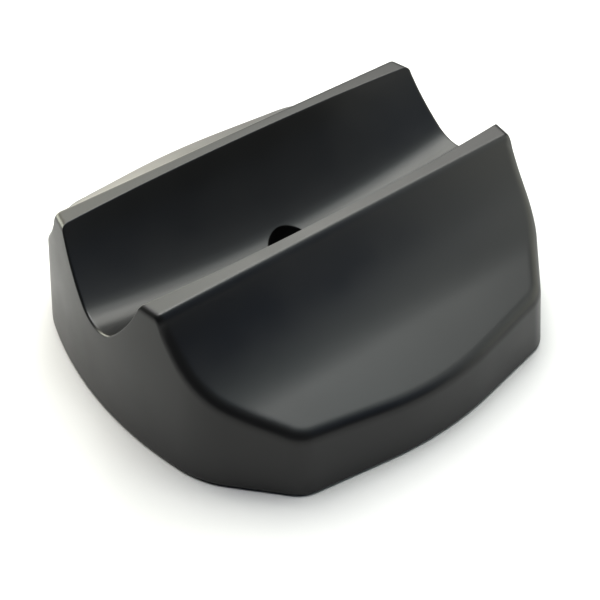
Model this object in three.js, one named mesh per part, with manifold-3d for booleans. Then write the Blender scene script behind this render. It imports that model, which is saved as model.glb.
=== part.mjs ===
// A riser block that holds the front wheel of a bicycle standing on a home trainer.
// One hollow moulding with a groove for the tyre, on four rubber feet pressed in below.
//
// Millimetres. X runs along the groove, Y across it and Z up. The origin is the middle
// of the block on the floor.

import * as THREE from 'three';
import { mergeVertices } from 'three/addons/utils/BufferGeometryUtils.js';
import Module from 'manifold-3d';

// Overall sizes
const blockLength = 215;
const blockWidth = 211.5;
const blockHeight = 75;
const rimLift = 1; // the rim hangs this far above the floor, on the feet
const skin = 3;

// Base outline: bowed ends, bowed sides and straight chamfers across the corners
const endCornerAcross = 64.4;
const endCrown = 11.3; // how far the middle of an end stands out past its corners
const sideCornerAlong = 67.9;
const sideCrown = 9.3;
const sideNoseShare = 0.42; // of half the side, the arc in its middle; the rest is straight
const endCornerRadius = 13.8;
const sideCornerRadius = 17.1;

// Draft of the walls, in degrees
const endDraftAngle = 7.5;
const chamferDraftAngle = 6.8;
const sideDraftAngle = 6.9;

// Ridges and the hollow side faces that fall away from them
const ridgeSpan = 78.9; // over the outer edges of both ridges
const sideFaceRadius = 74;
const sideFaceTopAngle = 64.7; // degrees below level, at the ridge
const sideFaceLowAngle = 23.3; // degrees below level, where the straight run starts
const leastLand = 0.8; // the narrowest top that a ridge keeps inside the skin

// Groove for the tyre, swept along an arc that is lowest in the middle of the block
const grooveFloor = 32.1; // height of its lowest point
const grooveFloorRadius = 16.6;
const grooveFloorAngle = 46.4; // degrees, where the floor's arc meets the flank's
const grooveFlankRadius = 92;
const grooveSweepRadius = 483;

// Softened edges
const faceEdgeRadius = 5.5; // where the roof turns down into the walls
const grooveEdgeRadius = 1.2; // the same edge, across the mouth of the groove
const ridgeOuterBlend = 1.8; // height in which the side face and the ridge's top blend
const ridgeInnerBlend = 0.8; // height in which the groove and the ridge's top blend

// Hole down through the floor of the groove
const holeRadius = 10.9;
const holeTubeWall = 2.5;

// Ribs inside
const ribThickness = 2.2;
const ribLift = 2; // the ribs stop this far above the rim
const innerRibAcross = 25; // from the middle to the ribs under the groove's flanks
const cut = 5; // overrun of every cutting shape past what it cuts

// Feet, at the crossings of the outer ribs
const footInset = 19.6; // from the middle of a chamfer to the foot's centre
const footRadius = 9;
const footThickness = 3.2;
const footEdge = 0.8;
const footStemRadius = 3.2;
const footStemLength = 7;
const footFit = 0.3; // gap between a foot and its socket
const socketWall = 2.4;

// Counts
const grooveRowCount = 7;
const edgeStepCount = 3;
const roundSideCount = 36;

const halfLength = blockLength / 2;
const halfWidth = blockWidth / 2;

// The place between low and high where a value that starts above zero falls through it
function crossing(low, high, value) {
  const halvings = 40;
  let above = low;
  let below = high;
  for (let i = 0; i < halvings; i += 1) {
    const middle = (above + below) / 2;
    if (value(middle) > 0) above = middle;
    else below = middle;
  }
  return (above + below) / 2;
}

function heading(angle) {
  return new THREE.Vector2(Math.cos(angle), Math.sin(angle));
}

// Half angle and radius of the arc in the middle of the long side. It is tangent to the
// straight run, which ends sideCrown further in.
const noseAlong = sideNoseShare * sideCornerAlong;
const runAngle = crossing(0, Math.PI / 3, (angle) => {
  const run = (sideCornerAlong - noseAlong) * Math.tan(angle);
  return sideCrown - noseAlong * Math.tan(angle / 2) - run;
});
const noseRadius = noseAlong / Math.sin(runAngle);
const endRadius = (endCornerAcross ** 2 + endCrown ** 2) / (2 * endCrown);

// The y of the long side of the base, also past its corner
function sideLine(x) {
  if (x < noseAlong) return halfWidth - noseRadius + Math.sqrt(noseRadius ** 2 - x ** 2);
  return halfWidth - noseAlong * Math.tan(runAngle / 2) - (x - noseAlong) * Math.tan(runAngle);
}

const endCorner = new THREE.Vector2(halfLength - endCrown, endCornerAcross);
const sideCorner = new THREE.Vector2(sideCornerAlong, sideLine(sideCornerAlong));
const chamferAngle = Math.atan2(endCorner.x - sideCorner.x, sideCorner.y - endCorner.y);

// A quarter of the wall's outline at one height, from the middle of the end round to the
// middle of the side, as six runs. Each run goes from one centre to another while its
// normal turns from one angle to the next: an arc has one centre and a line no radius.
function wallRuns(height, inset) {
  const setback = (draft) => {
    const angle = THREE.MathUtils.degToRad(draft);
    return (height - rimLift) * Math.tan(angle) + inset / Math.cos(angle);
  };
  const sideAngle = Math.PI / 2 - runAngle;
  const chamfer = heading(chamferAngle);
  const side = heading(sideAngle);

  const endArc = endRadius - setback(endDraftAngle);
  const endCentre = new THREE.Vector2(halfLength - endRadius, 0);
  const softRadius = endCornerRadius - inset;
  const tightRadius = sideCornerRadius - inset;

  // The soft corner's centre is on a line along the chamfer and on an arc along the end
  const along = new THREE.Vector2(-chamfer.y, chamfer.x);
  const start = endCorner.clone().addScaledVector(chamfer, -setback(chamferDraftAngle) - softRadius);
  const reach = start.clone().sub(endCentre);
  const half = reach.dot(along);
  const rest = reach.lengthSq() - (endArc - softRadius) ** 2;
  const softCentre = start.clone().addScaledVector(along, -half - Math.sqrt(half ** 2 - rest));
  const softStart = Math.atan2(softCentre.y - endCentre.y, softCentre.x - endCentre.x);

  // The tight corner's centre is on a line along the chamfer and on one along the side
  const chamferReach = sideCorner.dot(chamfer) - setback(chamferDraftAngle) - tightRadius;
  const sideReach = sideCorner.dot(side) - setback(sideDraftAngle) - tightRadius;
  const spread = chamfer.cross(side);
  const tightCentre = new THREE.Vector2(
    (chamferReach * side.y - sideReach * chamfer.y) / spread,
    (sideReach * chamfer.x - chamferReach * side.x) / spread,
  );

  const noseArc = noseRadius - setback(sideDraftAngle);
  const noseCentre = new THREE.Vector2(0, halfWidth - noseRadius);
  const at = (centre, radius, angle) => centre.clone().addScaledVector(heading(angle), radius);
  return [
    { from: endCentre, to: endCentre, radius: endArc, turn: [0, softStart] },
    { from: softCentre, to: softCentre, radius: softRadius, turn: [softStart, chamferAngle] },
    {
      from: at(softCentre, softRadius, chamferAngle),
      to: at(tightCentre, tightRadius, chamferAngle),
      radius: 0,
      turn: [chamferAngle, chamferAngle],
    },
    { from: tightCentre, to: tightCentre, radius: tightRadius, turn: [chamferAngle, sideAngle] },
    {
      from: at(tightCentre, tightRadius, sideAngle),
      to: at(noseCentre, noseArc, sideAngle),
      radius: 0,
      turn: [sideAngle, sideAngle],
    },
    { from: noseCentre, to: noseCentre, radius: noseArc, turn: [sideAngle, Math.PI / 2] },
  ];
}

// A place on the outline is counted in runs: 0 is the middle of the end, 3.5 the middle of
// the tight corner and 6 the middle of the side. The roof's rows and columns end at these.
const runCount = 6;
const tightCornerShare = 3.5;
const rowShares = [0.85, 1, 1.33, 1.67, 2, 2.33, 2.67, 3, 3.25, tightCornerShare];
const columnShares = [3.75, 4, 4.33, 4.67, 5, 5.33, 5.67, runCount];

// A point of the wall at a place, and its level outward normal there
function wallAt(place, height, inset) {
  const index = Math.min(Math.floor(place), runCount - 1);
  const share = place - index;
  const run = wallRuns(height, inset)[index];
  const normal = heading(THREE.MathUtils.lerp(run.turn[0], run.turn[1], share));
  const centre = run.from.clone().lerp(run.to, share);
  const point = centre.addScaledVector(normal, run.radius);
  return { point: new THREE.Vector3(point.x, point.y, height), normal };
}

// The side face in section: a hollow arc down from the ridge, then a straight run
const topAngle = THREE.MathUtils.degToRad(sideFaceTopAngle);
const lowAngle = THREE.MathUtils.degToRad(sideFaceLowAngle);
const sideFaceCentre = new THREE.Vector2(
  ridgeSpan / 2 + sideFaceRadius * Math.sin(topAngle),
  blockHeight + sideFaceRadius * Math.cos(topAngle),
);

function sideFaceHeight(y, inset) {
  const radius = sideFaceRadius + inset;
  const away = sideFaceCentre.x - y;
  if (away >= radius) return Infinity;
  const runStart = radius * Math.sin(lowAngle);
  if (away > runStart) return sideFaceCentre.y - Math.sqrt(radius ** 2 - away ** 2);
  return sideFaceCentre.y - radius * Math.cos(lowAngle) - (runStart - away) * Math.tan(lowAngle);
}

function sideFaceReach(height, inset) {
  const radius = sideFaceRadius + inset;
  return sideFaceCentre.x - Math.sqrt(radius ** 2 - (sideFaceCentre.y - height) ** 2);
}

// The groove in section: a round floor and flatter flanks, lifted towards the ends
const floorAngle = THREE.MathUtils.degToRad(grooveFloorAngle);
const radiusGain = grooveFlankRadius - grooveFloorRadius;
const flankCentre = new THREE.Vector2(
  -radiusGain * Math.sin(floorAngle),
  grooveFloor + grooveFloorRadius + radiusGain * Math.cos(floorAngle),
);

function grooveLift(x) {
  return grooveSweepRadius - Math.sqrt(grooveSweepRadius ** 2 - x ** 2);
}

function grooveHeight(x, y, inset) {
  const floorRadius = grooveFloorRadius + inset;
  const flankRadius = grooveFlankRadius + inset;
  if (y < floorRadius * Math.sin(floorAngle)) {
    return grooveFloor + grooveFloorRadius + grooveLift(x) - Math.sqrt(floorRadius ** 2 - y ** 2);
  }
  const away = y - flankCentre.x;
  if (away >= flankRadius) return Infinity;
  return flankCentre.y + grooveLift(x) - Math.sqrt(flankRadius ** 2 - away ** 2);
}

function grooveReach(x, height, inset) {
  const radius = grooveFlankRadius + inset;
  const drop = flankCentre.y + grooveLift(x) - height;
  return flankCentre.x + Math.sqrt(radius ** 2 - drop ** 2);
}

// The lower of two heights, with the edge where they cross rounded off
function softLower(a, b, blend) {
  const overlap = Math.max(blend - Math.abs(a - b), 0);
  return Math.min(a, b) - (blend > 0 ? overlap ** 2 / (4 * blend) : 0);
}

// Height of the block's roof over a point: the lowest of groove, ridge top and side face
function roofHeight(x, y, form) {
  const land = blockHeight - form.inset;
  const ridge = softLower(land, sideFaceHeight(y, form.inset), form.outerBlend);
  return softLower(ridge, grooveHeight(x, y, form.inset), form.innerBlend);
}

// Where the ridge's top starts and ends across the block
function ridgeEdges(x, form) {
  const land = blockHeight - form.inset;
  const inner = grooveReach(x, land, form.inset);
  const outer = sideFaceReach(land, form.inset);
  const middle = (inner + outer) / 2;
  const half = Math.max(outer - inner, leastLand) / 2;
  return { inner: middle - half, outer: middle + half };
}

// One place round the edge of the roof: the points from the roof, round the edge's arc,
// to the wall and down it
function edgeColumn(place, form) {
  const over = (height) => {
    const { point } = wallAt(place, height, form.inset);
    return roofHeight(point.x, point.y, form) - height;
  };
  const height = crossing(rimLift, blockHeight, over);
  const { point: corner, normal } = wallAt(place, height, form.inset);
  const foot = wallAt(place, form.bottom, form.inset).point;
  if (form.edge === 0) return [corner, foot];

  const step = form.edge / 10;
  const inward = roofHeight(corner.x - normal.x * step, corner.y - normal.y * step, form);
  const roofWay = new THREE.Vector3(-normal.x * step, -normal.y * step, inward - height);
  roofWay.normalize();
  const wallWay = foot.clone().sub(corner).normalize();

  const edges = ridgeEdges(corner.x, form);
  const share = THREE.MathUtils.smoothstep(corner.y, edges.inner, edges.outer);
  const radius = THREE.MathUtils.lerp(form.mouthEdge, form.edge, share);
  const between = roofWay.angleTo(wallWay);
  const centre = roofWay.clone().add(wallWay).normalize();
  centre.multiplyScalar(radius / Math.sin(between / 2)).add(corner);
  const length = radius / Math.tan(between / 2);
  const start = corner.clone().addScaledVector(roofWay, length);
  const end = corner.clone().addScaledVector(wallWay, length);
  const sweep = Math.PI - between;
  const points = [start];
  for (let i = 1; i <= edgeStepCount; i += 1) {
    const turned = (i / edgeStepCount) * sweep;
    const arm = start.clone().sub(centre).multiplyScalar(Math.sin(sweep - turned));
    arm.addScaledVector(end.clone().sub(centre), Math.sin(turned));
    points.push(arm.divideScalar(Math.sin(sweep)).add(centre));
  }
  start.z = roofHeight(start.x, start.y, form);
  points.push(foot);
  return points;
}

// A quarter of the block's form: a grid of points over the roof, in rows from the middle
// of the groove out to the side, and the edge columns in which the rows and then the
// columns end. A row that follows a crease ends where the crease meets the edge.
function quarterForm(form) {
  const innerSoft = form.innerBlend / 2;
  const outerSoft = form.outerBlend / 2;
  const sideMiddle = edgeColumn(runCount, form);
  const setback = halfWidth - sideMiddle[0].y;
  const grooveSide = (x) => ridgeEdges(x, form).inner - innerSoft;
  const sideStart = (x) => ridgeEdges(x, form).outer + outerSoft;
  const sideEnd = (x) => sideLine(x) - setback;

  const lines = [];
  for (let i = 0; i < grooveRowCount; i += 1) lines.push((x) => (i / grooveRowCount) * grooveSide(x));
  if (innerSoft > 0) lines.push(grooveSide);
  lines.push((x) => ridgeEdges(x, form).inner);
  if (innerSoft > 0) lines.push((x) => ridgeEdges(x, form).inner + innerSoft);
  if (outerSoft > 0) lines.push((x) => ridgeEdges(x, form).outer - outerSoft);
  lines.push((x) => ridgeEdges(x, form).outer);
  if (outerSoft > 0) lines.push(sideStart);

  let creasePlace = 0;
  const rows = lines.map((line, i) => {
    const ahead = (place) => {
      const start = edgeColumn(place, form)[0];
      return line(start.x) - start.y;
    };
    if (i > 0) creasePlace = crossing(0, tightCornerShare, ahead);
    return { line, column: edgeColumn(creasePlace, form) };
  });
  for (const place of rowShares.filter((each) => each > creasePlace)) {
    const column = edgeColumn(place, form);
    const { x, y } = column[0];
    const share = (y - sideStart(x)) / (sideEnd(x) - sideStart(x));
    rows.push({ line: (along) => THREE.MathUtils.lerp(sideStart(along), sideEnd(along), share), column });
  }

  const sideColumns = columnShares.map((place) => edgeColumn(place, form));
  const corner = rows[rows.length - 1].column[0];
  const grid = rows.map(({ line, column }) => {
    const points = sideColumns.map((sideColumn) => {
      const x = (column[0].x * sideColumn[0].x) / corner.x;
      return new THREE.Vector3(x, line(x), roofHeight(x, line(x), form));
    });
    return [column[0], ...points];
  });
  grid[grid.length - 1] = [corner, ...sideColumns.map((sideColumn) => sideColumn[0])];
  return { grid, edge: [...rows.map(({ column }) => column), ...sideColumns] };
}

// The closed form: the roof, its edge and the walls of a quarter, mirrored to all four
function blockForm(form) {
  const { grid, edge } = quarterForm(form);
  const triangles = [];
  const quad = (a, b, c, d) => triangles.push([a, b, c], [a, c, d]);
  for (let k = 0; k < grid.length - 1; k += 1) {
    for (let j = 0; j < grid[k].length - 1; j += 1) {
      quad(grid[k][j + 1], grid[k][j], grid[k + 1][j], grid[k + 1][j + 1]);
    }
  }
  const middle = new THREE.Vector3(0, 0, form.bottom);
  for (let i = 0; i < edge.length - 1; i += 1) {
    const here = edge[i];
    const next = edge[i + 1];
    for (let k = 0; k < here.length - 1; k += 1) quad(here[k], here[k + 1], next[k + 1], next[k]);
    triangles.push([middle, next[next.length - 1], here[here.length - 1]]);
  }
  const positions = [];
  for (const [along, across] of [[1, 1], [-1, 1], [-1, -1], [1, -1]]) {
    for (const triangle of triangles) {
      const corners = along * across > 0 ? triangle : [...triangle].reverse();
      for (const corner of corners) positions.push(along * corner.x, across * corner.y, corner.z);
    }
  }
  const geometry = new THREE.BufferGeometry();
  geometry.setAttribute('position', new THREE.Float32BufferAttribute(positions, 3));
  return geometry;
}

const wasm = await Module();
wasm.setup();

function solidOf(geometry) {
  const bare = geometry.index ? geometry.toNonIndexed() : geometry.clone();
  bare.deleteAttribute('normal');
  bare.deleteAttribute('uv');
  const merged = mergeVertices(bare);
  const triVerts = new Uint32Array(merged.index.array);
  const vertProperties = new Float32Array(merged.attributes.position.array);
  return new wasm.Manifold(new wasm.Mesh({ numProp: 3, vertProperties, triVerts }));
}

function geometryOf(solid) {
  const mesh = solid.getMesh();
  const geometry = new THREE.BufferGeometry();
  geometry.setAttribute('position', new THREE.BufferAttribute(mesh.vertProperties, 3));
  geometry.setIndex(new THREE.BufferAttribute(mesh.triVerts, 1));
  geometry.computeVertexNormals();
  return geometry;
}

// An upright cylinder between two heights
function post(radius, low, high, x = 0, y = 0) {
  const geometry = new THREE.CylinderGeometry(radius, radius, high - low, roundSideCount);
  geometry.rotateX(Math.PI / 2);
  geometry.translate(x, y, (low + high) / 2);
  return solidOf(geometry);
}

function slab(length, width, low, high, x, y) {
  const geometry = new THREE.BoxGeometry(length, width, high - low);
  geometry.translate(x, y, (low + high) / 2);
  return solidOf(geometry);
}

const footPlace = endCorner.clone().lerp(sideCorner, 0.5);
footPlace.addScaledVector(heading(chamferAngle), -footInset);
const { x: footAlong, y: footAcross } = footPlace;
const footPlaces = [
  ['foot_left_front', -footAlong, -footAcross],
  ['foot_right_front', footAlong, -footAcross],
  ['foot_left_rear', -footAlong, footAcross],
  ['foot_right_rear', footAlong, footAcross],
];

// Heights inside a foot's socket, from the foot that goes in
const recessTop = footThickness + footFit;
const stemTop = footThickness + footStemLength;
const boreTop = stemTop + footFit;
const socketTop = boreTop + socketWall;
const socketRadius = footRadius + footFit + socketWall;

// Everything that stands in the cavity: ribs, the tube round the hole, the feet's sockets
function insideFrame() {
  const ribLow = rimLift + ribLift;
  let frame = post(holeRadius + holeTubeWall, ribLow, blockHeight);
  for (const x of [-footAlong, 0, footAlong]) {
    frame = frame.add(slab(ribThickness, blockWidth, ribLow, blockHeight, x, 0));
  }
  for (const y of [-footAcross, -innerRibAcross, innerRibAcross, footAcross]) {
    frame = frame.add(slab(blockLength, ribThickness, ribLow, blockHeight, 0, y));
  }
  for (const [, x, y] of footPlaces) frame = frame.add(post(socketRadius, rimLift, socketTop, x, y));
  return frame;
}

function blockShell() {
  const outside = solidOf(blockForm({
    inset: 0,
    bottom: rimLift,
    edge: faceEdgeRadius,
    mouthEdge: grooveEdgeRadius,
    outerBlend: ridgeOuterBlend,
    innerBlend: ridgeInnerBlend,
  }));
  const inside = solidOf(blockForm({
    inset: skin,
    bottom: rimLift - cut,
    edge: 0,
    outerBlend: 0,
    innerBlend: 0,
  }));
  let shell = outside.subtract(inside.subtract(insideFrame()));
  shell = shell.subtract(post(holeRadius, -cut, blockHeight));
  for (const [, x, y] of footPlaces) {
    shell = shell.subtract(post(footRadius + footFit, -cut, recessTop, x, y));
    shell = shell.subtract(post(footStemRadius + footFit, 0, boreTop, x, y));
  }
  return geometryOf(shell);
}

// A rubber foot: a round pad with a stem above it
function footShape() {
  const profile = [
    [0, 0],
    [footRadius - footEdge, 0],
    [footRadius, footEdge],
    [footRadius, footThickness],
    [footStemRadius, footThickness],
    [footStemRadius, stemTop - footEdge],
    [footStemRadius - footEdge, stemTop],
    [0, stemTop],
  ].map(([radius, height]) => new THREE.Vector2(radius, height));
  const geometry = new THREE.LatheGeometry(profile, roundSideCount);
  geometry.rotateX(Math.PI / 2);
  return geometryOf(solidOf(geometry));
}

const shellPlastic = new THREE.MeshStandardMaterial({ color: 0x161617, roughness: 0.5, metalness: 0 });
const footRubber = new THREE.MeshStandardMaterial({ color: 0x0d0d0d, roughness: 0.9, metalness: 0 });

const block = new THREE.Group();
const shellMesh = new THREE.Mesh(blockShell(), shellPlastic);
shellMesh.name = 'block_shell';
block.add(shellMesh);

for (const [name, x, y] of footPlaces) {
  const foot = new THREE.Mesh(footShape(), footRubber);
  foot.name = name;
  foot.position.set(x, y, 0);
  block.add(foot);
}

export default block;
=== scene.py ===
"""Looks and studio for a riser block that holds the front wheel of a bicycle on a trainer.

The block's dense skin is made from curves of the same kinds as the CAD model's. Sizes here are in
millimetres and become metres when a mesh is made. X runs along the groove, Y across it.
"""

import cmath
import math

import bpy
from mathutils import Matrix, Vector


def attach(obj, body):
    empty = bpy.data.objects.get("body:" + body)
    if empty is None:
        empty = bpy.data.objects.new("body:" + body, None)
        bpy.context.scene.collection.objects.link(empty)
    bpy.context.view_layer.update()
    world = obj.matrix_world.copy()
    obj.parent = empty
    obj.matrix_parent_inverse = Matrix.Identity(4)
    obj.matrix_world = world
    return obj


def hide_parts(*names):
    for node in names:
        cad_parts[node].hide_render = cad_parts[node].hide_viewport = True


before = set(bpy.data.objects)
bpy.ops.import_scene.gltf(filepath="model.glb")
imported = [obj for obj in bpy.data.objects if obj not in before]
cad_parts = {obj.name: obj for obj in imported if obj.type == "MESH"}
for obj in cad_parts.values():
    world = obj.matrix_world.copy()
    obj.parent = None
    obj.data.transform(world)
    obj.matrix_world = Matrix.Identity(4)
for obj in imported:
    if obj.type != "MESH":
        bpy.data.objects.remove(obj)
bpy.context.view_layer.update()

MM = 0.001

# Overall sizes
BLOCK_LENGTH = 215
BLOCK_WIDTH = 211.5
BLOCK_HEIGHT = 75
RIM_LIFT = 1
SKIN = 3

# Base outline
END_CORNER_ACROSS = 64.7
END_CROWN = 10.8
SIDE_CORNER_ALONG = 67.9
SIDE_CROWN = 9.3
SIDE_NOSE_SHARE = 0.42
END_CORNER_RADIUS = 48
SIDE_CORNER_RADIUS = 17.1

# Draft of the walls, in degrees
END_DRAFT = 7.5
CHAMFER_DRAFT = 6.8
SIDE_DRAFT = 6.9

# Ridges and side faces
RIDGE_SPAN = 79.9
SIDE_FACE_RADIUS = 74
SIDE_FACE_TOP = math.radians(64.7)
SIDE_FACE_LOW = math.radians(23.3)
LEAST_LAND = 0.8

# Groove
GROOVE_FLOOR = 32.1
GROOVE_FLOOR_RADIUS = 16.6
GROOVE_FLOOR_ANGLE = math.radians(46.4)
GROOVE_FLANK_RADIUS = 92
GROOVE_SWEEP_RADIUS = 483

# Softened edges: radii, the width over which one fades into another, and the heights blended
FACE_EDGE_RADIUS = 7.6
LAND_EDGE_RADIUS = 3.3
LAND_EDGE_FADE = 5
GROOVE_EDGE_RADIUS = 1.2
RIDGE_OUTER_BLEND = 3.4
RIDGE_INNER_BLEND = 0.8
RIM_EDGE_RADIUS = 0.6
HOLE_EDGE_RADIUS = 0.8

# Inside, and how far a cutting solid reaches past what it cuts
HOLE_RADIUS = 10.9
HOLE_TUBE_WALL = 2.5
RIB_THICKNESS = 2.2
RIB_LIFT = 2
INNER_RIB_ACROSS = 25
CUT = 5

# Feet, where the CAD model has them
FOOT_PLACE = complex(67.358, 67.452)
FOOT_RADIUS = 9
FOOT_THICKNESS = 3.2
FOOT_STEM_RADIUS = 3.2
FOOT_STEM_LENGTH = 7
FOOT_FIT = 0.3
FOOT_EDGE = 0.8
FOOT_GROOVES = (3.2, 4.9, 6.6)
FOOT_GROOVE_WIDTH = 0.7
FOOT_GROOVE_DEPTH = 0.4
SOCKET_WALL = 2.4

# Mesh density
GROOVE_ROWS = 26
HOLE_ROWS = 12
HOLE_COLUMNS = 9
EDGE_STEPS = 12
EDGE_POINTS = 13
EDGE_REACH = 10
EDGE_EVENNESS = 0.25
RIM_STEPS = 5
HOLE_EDGE_STEPS = 8
HOLE_DROPS = (2.5, 6)
ROUND_STEPS = 6
ROUND_SIDES = 96
LIP_REACH = 1.6
OUTER_STRIP_SHARE = 0.6

# Shares of the way across the lip of the groove, the land, the ridge's outer edge, the wall and
# the ring round the hole
LIP_SHARES = (0, 0.12, 0.23, 0.32, 0.39, 0.44, 0.48, 0.52, 0.56, 0.61, 0.7, 0.85)
LAND_SHARES = (0, 0.25, 0.5, 0.75)
OUTER_EDGE_SHARES = [i / 10 for i in range(11)]
WALL_SHARES = (0.1, 0.25, 0.5, 0.75, 0.9, 0.97)
RING_SHARES = (0.2, 0.4, 0.58, 0.73, 0.85, 0.94, 1)

# Sampling: how finely curves are followed, and how near counts as touching or as one vertex
BISECTIONS = 30
ROOF_SAMPLES = 60
SAMPLE_STEP = 0.25
TRIAL_LENGTH = 0.3
HOLE_TRIAL_LENGTH = 0.4
TOUCH = 0.001
VERTEX_STEPS = 2000

# Edges that turn by more than this, in degrees, stay sharp in the shading
BLOCK_SHARP_ANGLE = 32
FOOT_SHARP_ANGLE = 50

HALF_LENGTH = BLOCK_LENGTH / 2
HALF_WIDTH = BLOCK_WIDTH / 2


def spread(low, high, count):
    """Evenly spaced values above low, up to high."""
    return [low + (high - low) * i / count for i in range(1, count + 1)]


# Places on a quarter's outline run from 0, mid-end, to 6, mid-side, and rise by 1 with each run
RUNS = 6
FACE_PLACE = 0.75
TIGHT_CORNER_PLACE = 3.5
HOLE_PLACE = 5.72
LAST_LINE_PLACE = 1.5
LEAST_PLACE_STEP = 0.02
ROW_PLACES = (
    spread(FACE_PLACE, 1, 4)
    + spread(1, 2, 12)
    + spread(2, 3, 10)
    + spread(3, TIGHT_CORNER_PLACE, 5)
)
COLUMN_PLACES = (
    spread(TIGHT_CORNER_PLACE, 4, 5)
    + spread(4, 5, 12)
    + spread(5, HOLE_PLACE, 9)
    + spread(HOLE_PLACE, RUNS, HOLE_COLUMNS)
)


def mix(a, b, share):
    return a + (b - a) * share


def crossing(low, high, value):
    """The place between low and high where a value that starts above zero falls through it."""
    above, below = low, high
    for _ in range(BISECTIONS):
        middle = (above + below) / 2
        if value(middle) > 0:
            above = middle
        else:
            below = middle
    return (above + below) / 2


def heading(angle):
    """A level direction, as a complex number with X real and Y imaginary."""
    return cmath.rect(1, angle)


def dot(a, b):
    return (a.conjugate() * b).real


NOSE_ALONG = SIDE_NOSE_SHARE * SIDE_CORNER_ALONG


def crown_left(angle):
    """What is left of the side's crown when the straight run beside its nose leans by an angle."""
    run = SIDE_CORNER_ALONG - NOSE_ALONG
    return SIDE_CROWN - NOSE_ALONG * math.tan(angle / 2) - run * math.tan(angle)


RUN_ANGLE = crossing(0, math.pi / 3, crown_left)
NOSE_RADIUS = NOSE_ALONG / math.sin(RUN_ANGLE)
END_RADIUS = (END_CORNER_ACROSS**2 + END_CROWN**2) / (2 * END_CROWN)


def side_line(x):
    """The y of the base's long side, also past its corner."""
    if x < NOSE_ALONG:
        return HALF_WIDTH - NOSE_RADIUS + math.sqrt(NOSE_RADIUS**2 - x**2)
    nose_drop = NOSE_ALONG * math.tan(RUN_ANGLE / 2)
    return HALF_WIDTH - nose_drop - (x - NOSE_ALONG) * math.tan(RUN_ANGLE)


END_CORNER = complex(HALF_LENGTH - END_CROWN, END_CORNER_ACROSS)
SIDE_CORNER = complex(SIDE_CORNER_ALONG, side_line(SIDE_CORNER_ALONG))
CHAMFER_ANGLE = math.atan2(
    END_CORNER.real - SIDE_CORNER.real, SIDE_CORNER.imag - END_CORNER.imag
)


def wall_runs(height, inset):
    """The six runs of a quarter's outline at a height.

    Each run is (centre at its start, centre at its end, radius, first angle, last angle).
    """

    def setback(draft):
        angle = math.radians(draft)
        return (height - RIM_LIFT) * math.tan(angle) + inset / math.cos(angle)

    side_angle = math.pi / 2 - RUN_ANGLE
    chamfer = heading(CHAMFER_ANGLE)
    side = heading(side_angle)

    end_arc = END_RADIUS - setback(END_DRAFT)
    end_centre = complex(HALF_LENGTH - END_RADIUS, 0)
    soft_radius = END_CORNER_RADIUS - inset
    tight_radius = SIDE_CORNER_RADIUS - inset

    along = chamfer * 1j
    start = END_CORNER - chamfer * (setback(CHAMFER_DRAFT) + soft_radius)
    reach = start - end_centre
    half = dot(reach, along)
    rest = abs(reach) ** 2 - (end_arc - soft_radius) ** 2
    soft_centre = start + along * (-half - math.sqrt(half**2 - rest))
    soft_start = cmath.phase(soft_centre - end_centre)

    chamfer_reach = dot(SIDE_CORNER, chamfer) - setback(CHAMFER_DRAFT) - tight_radius
    side_reach = dot(SIDE_CORNER, side) - setback(SIDE_DRAFT) - tight_radius
    turn = (chamfer.conjugate() * side).imag
    tight_centre = complex(
        (chamfer_reach * side.imag - side_reach * chamfer.imag) / turn,
        (side_reach * chamfer.real - chamfer_reach * side.real) / turn,
    )

    nose_arc = NOSE_RADIUS - setback(SIDE_DRAFT)
    nose_centre = complex(0, HALF_WIDTH - NOSE_RADIUS)
    soft_end = soft_centre + soft_radius * chamfer
    tight_start = tight_centre + tight_radius * chamfer
    tight_end = tight_centre + tight_radius * side
    nose_start = nose_centre + nose_arc * side
    return [
        (end_centre, end_centre, end_arc, 0, soft_start),
        (soft_centre, soft_centre, soft_radius, soft_start, CHAMFER_ANGLE),
        (soft_end, tight_start, 0, CHAMFER_ANGLE, CHAMFER_ANGLE),
        (tight_centre, tight_centre, tight_radius, CHAMFER_ANGLE, side_angle),
        (tight_end, nose_start, 0, side_angle, side_angle),
        (nose_centre, nose_centre, nose_arc, side_angle, math.pi / 2),
    ]


def wall_at(place, height, inset):
    """A point of the wall, and the wall's level normal there."""
    index = min(int(place), RUNS - 1)
    share = place - index
    first, last, radius, a, b = wall_runs(height, inset)[index]
    normal = heading(mix(a, b, share))
    point = mix(first, last, share) + normal * radius
    return Vector((point.real, point.imag, height)), normal


SIDE_FACE_Y = RIDGE_SPAN / 2 + SIDE_FACE_RADIUS * math.sin(SIDE_FACE_TOP)
SIDE_FACE_Z = BLOCK_HEIGHT + SIDE_FACE_RADIUS * math.cos(SIDE_FACE_TOP)


def side_face_height(y, inset):
    """The height of the side face, which is hollow at the top and straight lower down."""
    radius = SIDE_FACE_RADIUS + inset
    away = SIDE_FACE_Y - y
    if away >= radius:
        return math.inf
    run_start = radius * math.sin(SIDE_FACE_LOW)
    if away > run_start:
        return SIDE_FACE_Z - math.sqrt(radius**2 - away**2)
    run_top = SIDE_FACE_Z - radius * math.cos(SIDE_FACE_LOW)
    return run_top - (run_start - away) * math.tan(SIDE_FACE_LOW)


def side_face_reach(height, inset):
    """The y at which the side face's hollow has a height."""
    radius = SIDE_FACE_RADIUS + inset
    return SIDE_FACE_Y - math.sqrt(radius**2 - (SIDE_FACE_Z - height) ** 2)


RADIUS_GAIN = GROOVE_FLANK_RADIUS - GROOVE_FLOOR_RADIUS
FLANK_Y = -RADIUS_GAIN * math.sin(GROOVE_FLOOR_ANGLE)
FLANK_Z = GROOVE_FLOOR + GROOVE_FLOOR_RADIUS + RADIUS_GAIN * math.cos(GROOVE_FLOOR_ANGLE)


def groove_lift(x):
    """How much higher the groove lies than in its middle."""
    return GROOVE_SWEEP_RADIUS - math.sqrt(GROOVE_SWEEP_RADIUS**2 - x**2)


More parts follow.
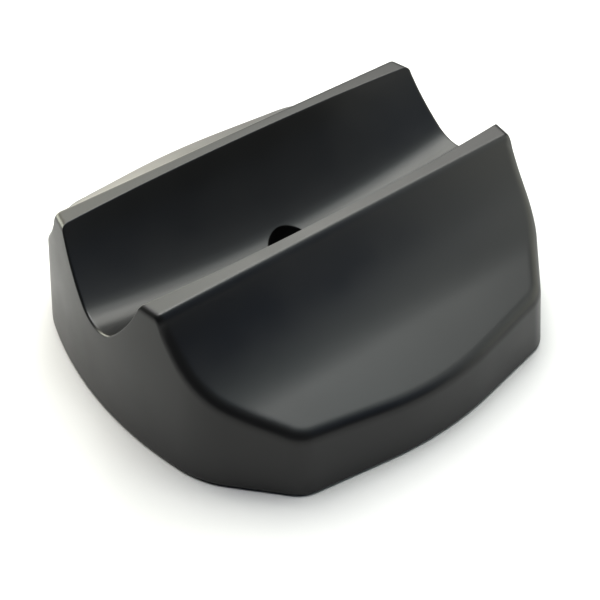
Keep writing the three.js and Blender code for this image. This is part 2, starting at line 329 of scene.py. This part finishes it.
def groove_height(x, y, inset):
    floor_radius = GROOVE_FLOOR_RADIUS + inset
    flank_radius = GROOVE_FLANK_RADIUS + inset
    if y < floor_radius * math.sin(GROOVE_FLOOR_ANGLE):
        floor_z = GROOVE_FLOOR + GROOVE_FLOOR_RADIUS + groove_lift(x)
        return floor_z - math.sqrt(floor_radius**2 - y**2)
    away = y - FLANK_Y
    if away >= flank_radius:
        return math.inf
    return FLANK_Z + groove_lift(x) - math.sqrt(flank_radius**2 - away**2)


def groove_reach(x, height, inset):
    """The y at which the groove's flank has a height."""
    radius = GROOVE_FLANK_RADIUS + inset
    drop = FLANK_Z + groove_lift(x) - height
    return FLANK_Y + math.sqrt(radius**2 - drop**2)


def soft_lower(a, b, blend):
    """The lower of two heights, with the edge where they cross rounded off."""
    if blend <= 0:
        return min(a, b)
    overlap = max(blend - abs(a - b), 0)
    return min(a, b) - overlap**2 / (4 * blend)


def ridge_height(x, y, form):
    """The height of the roof without the groove."""
    land = BLOCK_HEIGHT - form["inset"]
    return soft_lower(land, side_face_height(y, form["inset"]), form["outer_blend"])


def roof_height(x, y, form):
    """The height of the roof with the groove."""
    ridge = ridge_height(x, y, form)
    return soft_lower(ridge, groove_height(x, y, form["inset"]), form["inner_blend"])


def ridge_edges(x, form):
    """The y of the ridge's inner edge and of its outer one."""
    land = BLOCK_HEIGHT - form["inset"]
    inner = groove_reach(x, land, form["inset"])
    outer = side_face_reach(land, form["inset"])
    middle = (inner + outer) / 2
    half = max(outer - inner, LEAST_LAND) / 2
    return middle - half, middle + half


def smooth_step(value, low, high):
    share = min(max((value - low) / (high - low), 0), 1)
    return share * share * (3 - 2 * share)


def fillet(corner, first_way, last_way, radius, steps):
    """Points round an edge: an arc that touches the two ways out of the corner."""
    between = first_way.angle(last_way)
    centre = corner + (first_way + last_way).normalized() * (radius / math.sin(between / 2))
    length = radius / math.tan(between / 2)
    start = corner + first_way * length - centre
    end = corner + last_way * length - centre
    sweep = math.pi - between
    points = []
    for i in range(steps + 1):
        turned = sweep * i / steps
        arm = (start * math.sin(sweep - turned) + end * math.sin(turned)) / math.sin(sweep)
        points.append(centre + arm)
    return points


def edge_corner(place, form, roof):
    """Where the wall at a place on the outline meets a roof, and the wall's level normal there."""

    def over(height):
        point, _ = wall_at(place, height, form["inset"])
        return roof(point.x, point.y, form) - height

    return wall_at(place, crossing(RIM_LIFT, BLOCK_HEIGHT, over), form["inset"])


def at_length(path, length):
    """The point at a length along a path, the way the path takes there, and the points after it."""
    for k, (here, after) in enumerate(zip(path, path[1:])):
        piece = (after - here).length
        if length <= piece:
            return here.lerp(after, length / piece), (after - here).normalized(), path[k + 1 :]
        length -= piece
    return path[-1], (path[-1] - path[-2]).normalized(), []


def eased(path_in, corner, path_out, radius):
    """A smooth curve past a corner, from one path that leads away from it to another.

    It comes between what is left of the first path and what is left of the second.
    """
    way_back = at_length(path_in, TRIAL_LENGTH)[0] - corner
    way_on = at_length(path_out, TRIAL_LENGTH)[0] - corner
    between = way_back.angle(way_on)
    length = radius / math.tan(between / 2)
    start, way_in, rest_in = at_length(path_in, length)
    end, way_out, rest_out = at_length(path_out, length)
    handle = radius * 4 / 3 * math.tan((math.pi - between) / 4)
    leave = start - way_in * handle
    arrive = end - way_out * handle
    points = []
    for i in range(EDGE_STEPS + 1):
        a = i / EDGE_STEPS
        b = 1 - a
        points.append(b**3 * start + 3 * a * b**2 * leave + 3 * a**2 * b * arrive + a**3 * end)
    return rest_in, points, rest_out


def edge_column(place, form, line=None):
    """Points from the roof, round its edge, to the wall and down it, at a place on the outline.

    On the roof they follow the line where one is given, and else the wall's normal.
    """
    corner, normal = edge_corner(place, form, roof_height)
    foot, _ = wall_at(place, form["bottom"], form["inset"])
    if form["edge"] == 0:
        return [corner, foot]

    def inwards(origin, roof):
        path = []
        for i in range(ROOF_SAMPLES):
            run = i * SAMPLE_STEP
            x = origin.x - run * (1 if line else normal.real)
            y = line(x) if line else origin.y - run * normal.imag
            path.append(Vector((x, y, roof(x, y, form))))
        return path

    # The ridge's own edge, and the wall below it
    peak, _ = edge_corner(place, form, ridge_height)
    outer = ridge_edges(peak.x, form)[1]
    face_share = smooth_step(peak.y, outer, outer + LAND_EDGE_FADE)
    radius = mix(form["land_edge"], form["edge"], face_share)
    steps = int(peak.z - form["bottom"])
    heights = [mix(peak.z, form["bottom"], i / steps) for i in range(steps + 1)]
    wall = [wall_at(place, height, form["inset"])[0] for height in heights]
    _, ridge_edge, wall = eased(inwards(peak, ridge_height), peak, wall, radius)
    below = ridge_edge + wall

    # The part of them that lies under the groove
    first = 1
    while below[first].z > roof_height(below[first].x, below[first].y, form) - TOUCH:
        first += 1
    last_in, first_out = below[first - 1], below[first]
    gap_in = last_in.z - roof_height(last_in.x, last_in.y, form)
    gap_out = first_out.z - roof_height(first_out.x, first_out.y, form)
    mouth = last_in.lerp(first_out, min(max(gap_in / (gap_in - gap_out), 0), 1))
    rest_in, mouth_edge, rest_out = eased(
        inwards(mouth, roof_height), mouth, [mouth] + below[first:], form["mouth_edge"]
    )
    path = rest_in[::-1] + mouth_edge + rest_out
    middle = ridge_edge[EDGE_STEPS // 2]
    if first > EDGE_STEPS // 2:
        middle = mouth_edge[EDGE_STEPS // 2]

    # Points that lie closest together round the middle of the edge
    nearest = min(range(len(path)), key=lambda k: (path[k] - middle).length)
    ahead = path[nearest:]
    behind = path[nearest::-1]
    points = []
    for i in range(-EDGE_POINTS, EDGE_POINTS + 1):
        share = abs(i) / EDGE_POINTS
        length = EDGE_REACH * mix(share**3, share, EDGE_EVENNESS)
        points.append(at_length(behind if i < 0 else ahead, length)[0])

    inside = Vector((-normal.real, -normal.imag, 0))
    rim = fillet(foot, (points[-1] - foot).normalized(), inside, RIM_EDGE_RADIUS, RIM_STEPS)
    wall = [points[-1].lerp(rim[0], share) for share in WALL_SHARES]
    return points + wall + rim


def quarter_form(form):
    """A grid of roof points of one quarter, and the edge columns in which rows and columns end."""
    side_middle = edge_column(RUNS, form)[0]
    setback = HALF_WIDTH - side_middle.y

    # The long lines, each a y for every x, between which the strips of the roof lie
    def middle(x):
        return 0

    def lip_start(x):
        return ridge_edges(x, form)[0] - LIP_REACH

    def lip_end(x):
        return 2 * ridge_edges(x, form)[0] - lip_start(x)

    def land_end(x):
        return 2 * ridge_edges(x, form)[1] - face_start(x)

    def face_start(x):
        return ridge_edges(x, form)[1] + form["outer_blend"] * OUTER_STRIP_SHARE

    def face_end(x):
        return side_line(x) - setback

    def between(low, high, share):
        return lambda x: mix(low(x), high(x), share)

    def end_place(line):
        """The place on the outline where a line ends."""

        def gap(place):
            point, _ = edge_corner(place, form, roof_height)
            return line(point.x) - point.y

        return crossing(0, LAST_LINE_PLACE, gap)

    lines = [between(middle, lip_start, i / GROOVE_ROWS) for i in range(GROOVE_ROWS)]
    lines += [between(lip_start, lip_end, share) for share in LIP_SHARES]
    lines += [between(lip_end, land_end, share) for share in LAND_SHARES]
    lines += [between(land_end, face_start, share) for share in OUTER_EDGE_SHARES]

    rows = []
    for line in lines:
        place = end_place(line) if rows else 0
        rows.append((line, edge_column(place, form, line)))
    for row_place in ROW_PLACES:
        if row_place <= place + LEAST_PLACE_STEP:
            continue
        column = edge_column(row_place, form)
        x, y = column[0].x, column[0].y
        share = (y - face_start(x)) / (face_end(x) - face_start(x))
        rows.append((between(face_start, face_end, share), column))

    side_columns = [edge_column(place, form) for place in COLUMN_PLACES]
    corner = rows[-1][1][0]
    grid = []
    for line, column in rows:
        points = [column[0]]
        for side_column in side_columns:
            x = column[0].x * side_column[0].x / corner.x
            points.append(Vector((x, line(x), roof_height(x, line(x), form))))
        grid.append(points)
    grid[-1] = [corner] + [column[0] for column in side_columns]
    return grid, [column for _, column in rows] + side_columns


def hole_patch(grid, form):
    """Spokes of points from the grid's inner corner to the hole, round its edge and down it."""
    first = len(grid[0]) - 1 - HOLE_COLUMNS
    rim = [grid[k][first] for k in range(HOLE_ROWS + 1)]
    rim += [grid[HOLE_ROWS][j] for j in range(first + 1, len(grid[0]))]
    bottom = RIM_LIFT + RIB_LIFT / 2
    heights = [GROOVE_FLOOR - drop for drop in HOLE_DROPS] + [GROOVE_FLOOR / 2, bottom]
    spokes = []
    for i, outer in enumerate(rim):
        angle = math.pi / 2 * i / (len(rim) - 1)
        way = Vector((math.cos(angle), math.sin(angle), 0))
        corner = way * HOLE_RADIUS
        corner.z = roof_height(corner.x, corner.y, form)
        ahead = way * (HOLE_RADIUS + HOLE_TRIAL_LENGTH)
        ahead.z = roof_height(ahead.x, ahead.y, form)
        outwards = (ahead - corner).normalized()
        down = Vector((0, 0, -1))
        arc = fillet(corner, outwards, down, HOLE_EDGE_RADIUS, HOLE_EDGE_STEPS)
        spoke = [outer]
        for share in RING_SHARES:
            point = outer.lerp(arc[0], share)
            point.z = roof_height(point.x, point.y, form)
            spoke.append(point)
        spoke += arc[1:]
        for height in heights:
            spoke.append(Vector((corner.x, corner.y, height)))
        spoke.append(Vector((0, 0, bottom)))
        spokes.append(spoke)
    return spokes


def block_mesh(name, form, with_hole):
    """A closed form with a flat bottom: a quarter's roof, edges and walls, mirrored to all four."""
    grid, edge = quarter_form(form)
    faces = []
    for k in range(len(grid) - 1):
        for j in range(len(grid[0]) - 1):
            if with_hole and k < HOLE_ROWS and j >= len(grid[0]) - 1 - HOLE_COLUMNS:
                continue
            faces.append((grid[k][j + 1], grid[k][j], grid[k + 1][j], grid[k + 1][j + 1]))
    middle = Vector((0, 0, form["bottom"]))
    for here, after in zip(edge, edge[1:]):
        for k in range(len(here) - 1):
            faces.append((here[k], here[k + 1], after[k + 1], after[k]))
        faces.append((middle, after[-1], here[-1]))
    if with_hole:
        spokes = hole_patch(grid, form)
        for here, after in zip(spokes, spokes[1:]):
            for k in range(len(here) - 1):
                faces.append((here[k], after[k], after[k + 1], here[k + 1]))
    return mesh_object(name, mirrored(faces))


def mirrored(faces):
    """The faces of a quarter in all four quarters, each facing outwards."""
    made = []
    for along, across in ((1, 1), (-1, 1), (-1, -1), (1, -1)):
        for face in faces:
            corners = [Vector((along * p.x, across * p.y, p.z)) for p in face]
            made.append(corners if along * across > 0 else corners[::-1])
    return made


def mesh_object(name, faces):
    """An object of these faces, which share a vertex where their corners meet."""
    places = {}
    points = []
    polygons = []
    for face in faces:
        polygon = []
        for corner in face:
            key = tuple(round(value * VERTEX_STEPS) for value in corner)
            if key not in places:
                places[key] = len(points)
                points.append(corner * MM)
            if places[key] not in polygon:
                polygon.append(places[key])
        if len(polygon) > 2:
            polygons.append(polygon)
    mesh = bpy.data.meshes.new(name)
    mesh.from_pydata(points, [], polygons)
    mesh.validate()
    made = bpy.data.objects.new(name, mesh)
    bpy.context.scene.collection.objects.link(made)
    return made


def lathe(name, profile, place=0j):
    """A closed solid of revolution from (radius, height) points that start and end on the axis."""
    faces = []
    for i in range(ROUND_SIDES):
        first = heading(2 * math.pi * i / ROUND_SIDES)
        last = heading(2 * math.pi * (i + 1) / ROUND_SIDES)
        for (low_radius, low), (high_radius, high) in zip(profile, profile[1:]):
            corners = [
                (first * low_radius, low),
                (last * low_radius, low),
                (last * high_radius, high),
                (first * high_radius, high),
            ]
            faces.append([Vector(((p + place).real, (p + place).imag, z)) for p, z in corners])
    return mesh_object(name, faces)


def post(radius, low, high, place=0j):
    """An upright cylinder between two heights."""
    return lathe("post", [(0, low), (radius, low), (radius, high), (0, high)], place)


def slab(length, width, low, high, x, y):
    """A cuboid between two heights, with its middle over (x, y)."""
    a, b = x - length / 2, x + length / 2
    c, d = y - width / 2, y + width / 2
    low_ring = [Vector(p) for p in ((a, c, low), (b, c, low), (b, d, low), (a, d, low))]
    high_ring = [Vector((p.x, p.y, high)) for p in low_ring]
    faces = [low_ring[::-1], high_ring]
    for i in range(4):
        k = (i + 1) % 4
        faces.append([low_ring[i], low_ring[k], high_ring[k], high_ring[i]])
    return mesh_object("slab", faces)


def combine(target, tool, operation):
    """Joins or cuts one solid with another, and removes the second."""
    modifier = target.modifiers.new("combine", "BOOLEAN")
    modifier.object = tool
    modifier.operation = operation
    modifier.solver = "EXACT"
    graph = bpy.context.evaluated_depsgraph_get()
    made = bpy.data.meshes.new_from_object(target.evaluated_get(graph))
    target.modifiers.clear()
    target.data = made
    bpy.data.objects.remove(tool)


FOOT_PLACES = [
    ("left_front", -FOOT_PLACE),
    ("right_front", FOOT_PLACE.conjugate()),
    ("left_rear", -FOOT_PLACE.conjugate()),
    ("right_rear", FOOT_PLACE),
]
RECESS_TOP = FOOT_THICKNESS + FOOT_FIT
STEM_TOP = FOOT_THICKNESS + FOOT_STEM_LENGTH
BORE_TOP = STEM_TOP + FOOT_FIT
SOCKET_TOP = BORE_TOP + SOCKET_WALL
SOCKET_RADIUS = FOOT_RADIUS + FOOT_FIT + SOCKET_WALL


def moulding():
    """The block: a skin round a cavity in which ribs, the hole's tube and the sockets stand."""
    outer = block_mesh(
        "riser_block_skin",
        {
            "inset": 0,
            "bottom": RIM_LIFT,
            "edge": FACE_EDGE_RADIUS,
            "land_edge": LAND_EDGE_RADIUS,
            "mouth_edge": GROOVE_EDGE_RADIUS,
            "outer_blend": RIDGE_OUTER_BLEND,
            "inner_blend": RIDGE_INNER_BLEND,
        },
        True,
    )
    inner = block_mesh(
        "cavity",
        {"inset": SKIN, "bottom": RIM_LIFT - CUT, "edge": 0, "outer_blend": 0, "inner_blend": 0},
        False,
    )
    rib_low = RIM_LIFT + RIB_LIFT
    stands = post(HOLE_RADIUS + HOLE_TUBE_WALL, rib_low, BLOCK_HEIGHT)
    for x in (-FOOT_PLACE.real, 0, FOOT_PLACE.real):
        combine(stands, slab(RIB_THICKNESS, BLOCK_WIDTH, rib_low, BLOCK_HEIGHT, x, 0), "UNION")
    for y in (-FOOT_PLACE.imag, -INNER_RIB_ACROSS, INNER_RIB_ACROSS, FOOT_PLACE.imag):
        combine(stands, slab(BLOCK_LENGTH, RIB_THICKNESS, rib_low, BLOCK_HEIGHT, 0, y), "UNION")
    for _, place in FOOT_PLACES:
        combine(stands, post(SOCKET_RADIUS, RIM_LIFT, SOCKET_TOP, place), "UNION")
    combine(inner, stands, "DIFFERENCE")
    combine(outer, inner, "DIFFERENCE")
    for _, place in FOOT_PLACES:
        combine(outer, post(FOOT_RADIUS + FOOT_FIT, -CUT, RECESS_TOP, place), "DIFFERENCE")
        combine(outer, post(FOOT_STEM_RADIUS + FOOT_FIT, 0, BORE_TOP, place), "DIFFERENCE")
    return outer


def smooth(made, sharp_angle):
    """Shades an object smoothly, apart from its sharp edges."""
    made.data.shade_smooth()
    made.data.set_sharp_from_angle(angle=math.radians(sharp_angle))


def rounded(centre, radius, first, last):
    """Points of a profile's rounded corner, between two angles in degrees."""
    angles = [math.radians(mix(first, last, i / ROUND_STEPS)) for i in range(ROUND_STEPS + 1)]
    points = [centre + radius * heading(angle) for angle in angles]
    return [(p.real, p.imag) for p in points]


def rubber_foot(name, place):
    """A round pad with a grooved underside and softened edges, and the stem that holds it."""
    profile = [(0, 0)]
    for radius in FOOT_GROOVES:
        low, high = radius - FOOT_GROOVE_WIDTH / 2, radius + FOOT_GROOVE_WIDTH / 2
        bevel = FOOT_GROOVE_DEPTH / 4
        profile += [(low - bevel, 0), (low, bevel), (low, FOOT_GROOVE_DEPTH)]
        profile += [(high, FOOT_GROOVE_DEPTH), (high, bevel), (high + bevel, 0)]
    soft = FOOT_EDGE / 2
    profile += rounded(complex(FOOT_RADIUS - FOOT_EDGE, FOOT_EDGE), FOOT_EDGE, -90, 0)
    profile += rounded(complex(FOOT_RADIUS - soft, FOOT_THICKNESS - soft), soft, 0, 90)
    profile += rounded(complex(FOOT_STEM_RADIUS + soft, FOOT_THICKNESS + soft), soft, 270, 180)
    profile += rounded(complex(FOOT_STEM_RADIUS - FOOT_EDGE, STEM_TOP - FOOT_EDGE), FOOT_EDGE, 0, 90)
    return lathe(name, profile + [(0, STEM_TOP)], place)


block = moulding()
smooth(block, BLOCK_SHARP_ANGLE)
feet = [(name, rubber_foot("rubber_foot_" + name, place)) for name, place in FOOT_PLACES]
for _, foot in feet:
    smooth(foot, FOOT_SHARP_ANGLE)

# Colours
PLASTIC_DARK = (0.0046, 0.0047, 0.0049, 1)
PLASTIC_LIGHT = (0.0056, 0.0057, 0.0059, 1)
RUBBER_DARK = (0.012, 0.012, 0.012, 1)
RUBBER_LIGHT = (0.03, 0.029, 0.028, 1)
PAPER = (0.53, 0.53, 0.53, 1)
HORIZON = (1, 1, 1, 1)
ROOM = (0.04, 0.043, 0.05, 1)


def node(tree, kind, **inputs):
    """A new node with these values on its inputs, named with _ for a space."""
    made = tree.nodes.new(kind)
    for name, value in inputs.items():
        made.inputs[name.replace("_", " ")].default_value = value
    return made


def ramp(tree, *stops):
    """A colour ramp between two stops, each a place and a colour."""
    made = tree.nodes.new("ShaderNodeValToRGB")
    for element, (place, colour) in zip(made.color_ramp.elements, stops):
        element.position = place
        element.color = colour
    return made


def new_material(name):
    """A material, its node tree and its shader."""
    material = bpy.data.materials.new(name)
    material.use_nodes = True
    return material, material.node_tree, material.node_tree.nodes["Principled BSDF"]


def moulded_plastic():
    """Satin black plastic with a fine grain, and with a tint and a gloss that drift a little."""
    material, tree, shader = new_material("moulded_plastic")
    shader.inputs["IOR"].default_value = 1.5
    where = tree.nodes.new("ShaderNodeTexCoord")

    cloud = node(tree, "ShaderNodeTexNoise", Scale=38.0, Detail=3.0, Roughness=0.5)
    tree.links.new(where.outputs["Object"], cloud.inputs["Vector"])
    tint = ramp(tree, (0.3, PLASTIC_DARK), (0.7, PLASTIC_LIGHT))
    tree.links.new(cloud.outputs["Fac"], tint.inputs["Fac"])
    tree.links.new(tint.outputs["Color"], shader.inputs["Base Color"])

    gloss = node(
        tree, "ShaderNodeMapRange", From_Min=0.3, From_Max=0.7, To_Min=0.31, To_Max=0.37
    )
    tree.links.new(cloud.outputs["Fac"], gloss.inputs["Value"])
    tree.links.new(gloss.outputs["Result"], shader.inputs["Roughness"])

    grain = node(tree, "ShaderNodeTexNoise", Scale=2600.0, Detail=2.0, Roughness=0.6)
    tree.links.new(where.outputs["Object"], grain.inputs["Vector"])
    bump = node(tree, "ShaderNodeBump", Strength=0.25, Distance=0.00004)
    tree.links.new(grain.outputs["Fac"], bump.inputs["Height"])
    tree.links.new(bump.outputs["Normal"], shader.inputs["Normal"])
    return material


def foot_rubber():
    """Matt black rubber, mottled and a little uneven."""
    material, tree, shader = new_material("foot_rubber")
    where = tree.nodes.new("ShaderNodeTexCoord")

    cloud = node(tree, "ShaderNodeTexNoise", Scale=420.0, Detail=5.0, Roughness=0.6)
    tree.links.new(where.outputs["Object"], cloud.inputs["Vector"])
    tint = ramp(tree, (0.35, RUBBER_DARK), (0.75, RUBBER_LIGHT))
    tree.links.new(cloud.outputs["Fac"], tint.inputs["Fac"])
    tree.links.new(tint.outputs["Color"], shader.inputs["Base Color"])

    gloss = node(tree, "ShaderNodeMapRange", To_Min=0.72, To_Max=0.95)
    tree.links.new(cloud.outputs["Fac"], gloss.inputs["Value"])
    tree.links.new(gloss.outputs["Result"], shader.inputs["Roughness"])

    bump = node(tree, "ShaderNodeBump", Strength=0.5, Distance=0.0001)
    tree.links.new(cloud.outputs["Fac"], bump.inputs["Height"])
    tree.links.new(bump.outputs["Normal"], shader.inputs["Normal"])
    return material


plastic = moulded_plastic()
rubber = foot_rubber()
block.data.materials.clear()
block.data.materials.append(plastic)
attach(block, "root")
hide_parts("block_shell")
for name, foot in feet:
    foot.data.materials.append(rubber)
    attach(foot, "root")
    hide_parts("foot_" + name)


# Studio, in metres, with the horizon's fade as a share of straight up
FLOOR_SIZE = 8.0
FLOOR_DROP = 0.0001
GLOW_START = 0.45
GLOW_END = 0.95
LAMP_DISTANCE = 1.3
LAMP_SIZE = 0.85
HORIZON_FADE = 0.15


def studio_floor():
    """Pale paper that glows further out, so that it meets the room's horizon without a seam."""
    half = FLOOR_SIZE / 2
    around = ((-half, -half), (half, -half), (half, half), (-half, half))
    corners = [(x, y, -FLOOR_DROP) for x, y in around]
    mesh = bpy.data.meshes.new("studio_floor")
    mesh.from_pydata(corners, [], [(0, 1, 2, 3)])
    floor = bpy.data.objects.new("studio_floor", mesh)
    bpy.context.scene.collection.objects.link(floor)
    material, tree, shader = new_material("studio_paper")
    shader.inputs["Base Color"].default_value = PAPER
    shader.inputs["Roughness"].default_value = 0.9
    shader.inputs["Specular IOR Level"].default_value = 0.2
    shader.inputs["Emission Color"].default_value = HORIZON
    where = tree.nodes.new("ShaderNodeTexCoord")
    away = tree.nodes.new("ShaderNodeVectorMath")
    away.operation = "LENGTH"
    glow = node(tree, "ShaderNodeMapRange", From_Min=GLOW_START, From_Max=GLOW_END)
    glow.interpolation_type = "SMOOTHSTEP"
    tree.links.new(where.outputs["Object"], away.inputs[0])
    tree.links.new(away.outputs["Value"], glow.inputs["Value"])
    tree.links.new(glow.outputs["Result"], shader.inputs["Emission Strength"])
    mesh.materials.append(material)


studio_floor()


def softbox(name, height_angle, azimuth_angle, power, colour, size=LAMP_SIZE):
    """A round softbox that faces the block, at an angle above the floor and one from +X to +Y."""
    up = math.radians(height_angle)
    level = heading(math.radians(azimuth_angle)) * math.cos(up)
    place = Vector((level.real, level.imag, math.sin(up))) * LAMP_DISTANCE
    data = bpy.data.lights.new(name, "AREA")
    data.shape = "DISK"
    data.size = size
    data.energy = power
    data.color = colour
    light = bpy.data.objects.new(name, data)
    light.location = place
    light.rotation_euler = (-place).to_track_quat("-Z", "Y").to_euler()
    bpy.context.scene.collection.objects.link(light)


softbox("low_back", 14, 90, 19.0, (1, 0.96, 0.81), 1.1)
softbox("low_back_left", 14, 120, 9.0, (0.98, 1, 0.85), 0.6)
softbox("low_front_right", 14, 330, 6.9, (0.99, 1, 0.87), 1.1)
softbox("front", 30, 300, 0.55, (0.24, 0.47, 1))
softbox("mid_back_right", 48, 36, 8.0, (1, 0.99, 0.95))
softbox("mid_back", 48, 72, 6.0, (0.99, 1, 0.93))
softbox("mid_front_right", 48, 324, 2.45, (0.97, 1, 0.97))
softbox("high_right", 66, 0, 6.5, (0.98, 1, 0.96))
softbox("high_back_right", 66, 60, 3.4, (0.95, 1, 0.91))
softbox("high_back_left", 66, 120, 6.2, (1, 0.98, 1))
softbox("high_front", 66, 300, 0.68, (0.39, 0.83, 1))
softbox("top", 90, 0, 13.1, (1, 0.99, 0.97))


def room_light():
    """A room that is pale at the horizon, as the far paper is, and dim above it."""
    world = bpy.data.worlds.new("room")
    world.use_nodes = True
    tree = world.node_tree
    where = tree.nodes.new("ShaderNodeTexCoord")
    parts = tree.nodes.new("ShaderNodeSeparateXYZ")
    tree.links.new(where.outputs["Generated"], parts.inputs["Vector"])
    shade = ramp(tree, (0, HORIZON), (HORIZON_FADE, ROOM))
    shade.color_ramp.interpolation = "EASE"
    tree.links.new(parts.outputs["Z"], shade.inputs["Fac"])
    tree.links.new(shade.outputs["Color"], tree.nodes["Background"].inputs["Color"])
    return world


bpy.context.scene.world = room_light()
bpy.context.scene.view_settings.view_transform = "Standard"
bpy.context.scene.view_settings.gamma = 0.85

# Camera, with its distance and offsets in millimetres
azimuth = math.radians(-36.453)
elevation = math.radians(44.052)
roll = math.radians(-1.609)
distance = 508.24
offset_right = -3.528
offset_up = 28.681
target = Vector((0, 0, BLOCK_HEIGHT / 2))

level = math.cos(elevation)
back = Vector((math.sin(azimuth) * level, -math.cos(azimuth) * level, math.sin(elevation)))
right = (-back).cross(Vector((0, 0, 1))).normalized()
up = right.cross(-back)
rolled_right = math.cos(roll) * right + math.sin(roll) * up
rolled_up = -math.sin(roll) * right + math.cos(roll) * up
place = target + back * distance - rolled_right * offset_right - rolled_up * offset_up
lens = bpy.data.cameras.new("camera")
lens.sensor_width = 36
lens.lens = 66.85
lens.clip_start = 0.01
camera = bpy.data.objects.new("camera", lens)
turn = Matrix((rolled_right, rolled_up, back)).transposed().to_4x4()
camera.matrix_world = Matrix.Translation(place * MM) @ turn
bpy.context.scene.collection.objects.link(camera)
bpy.context.scene.camera = camera
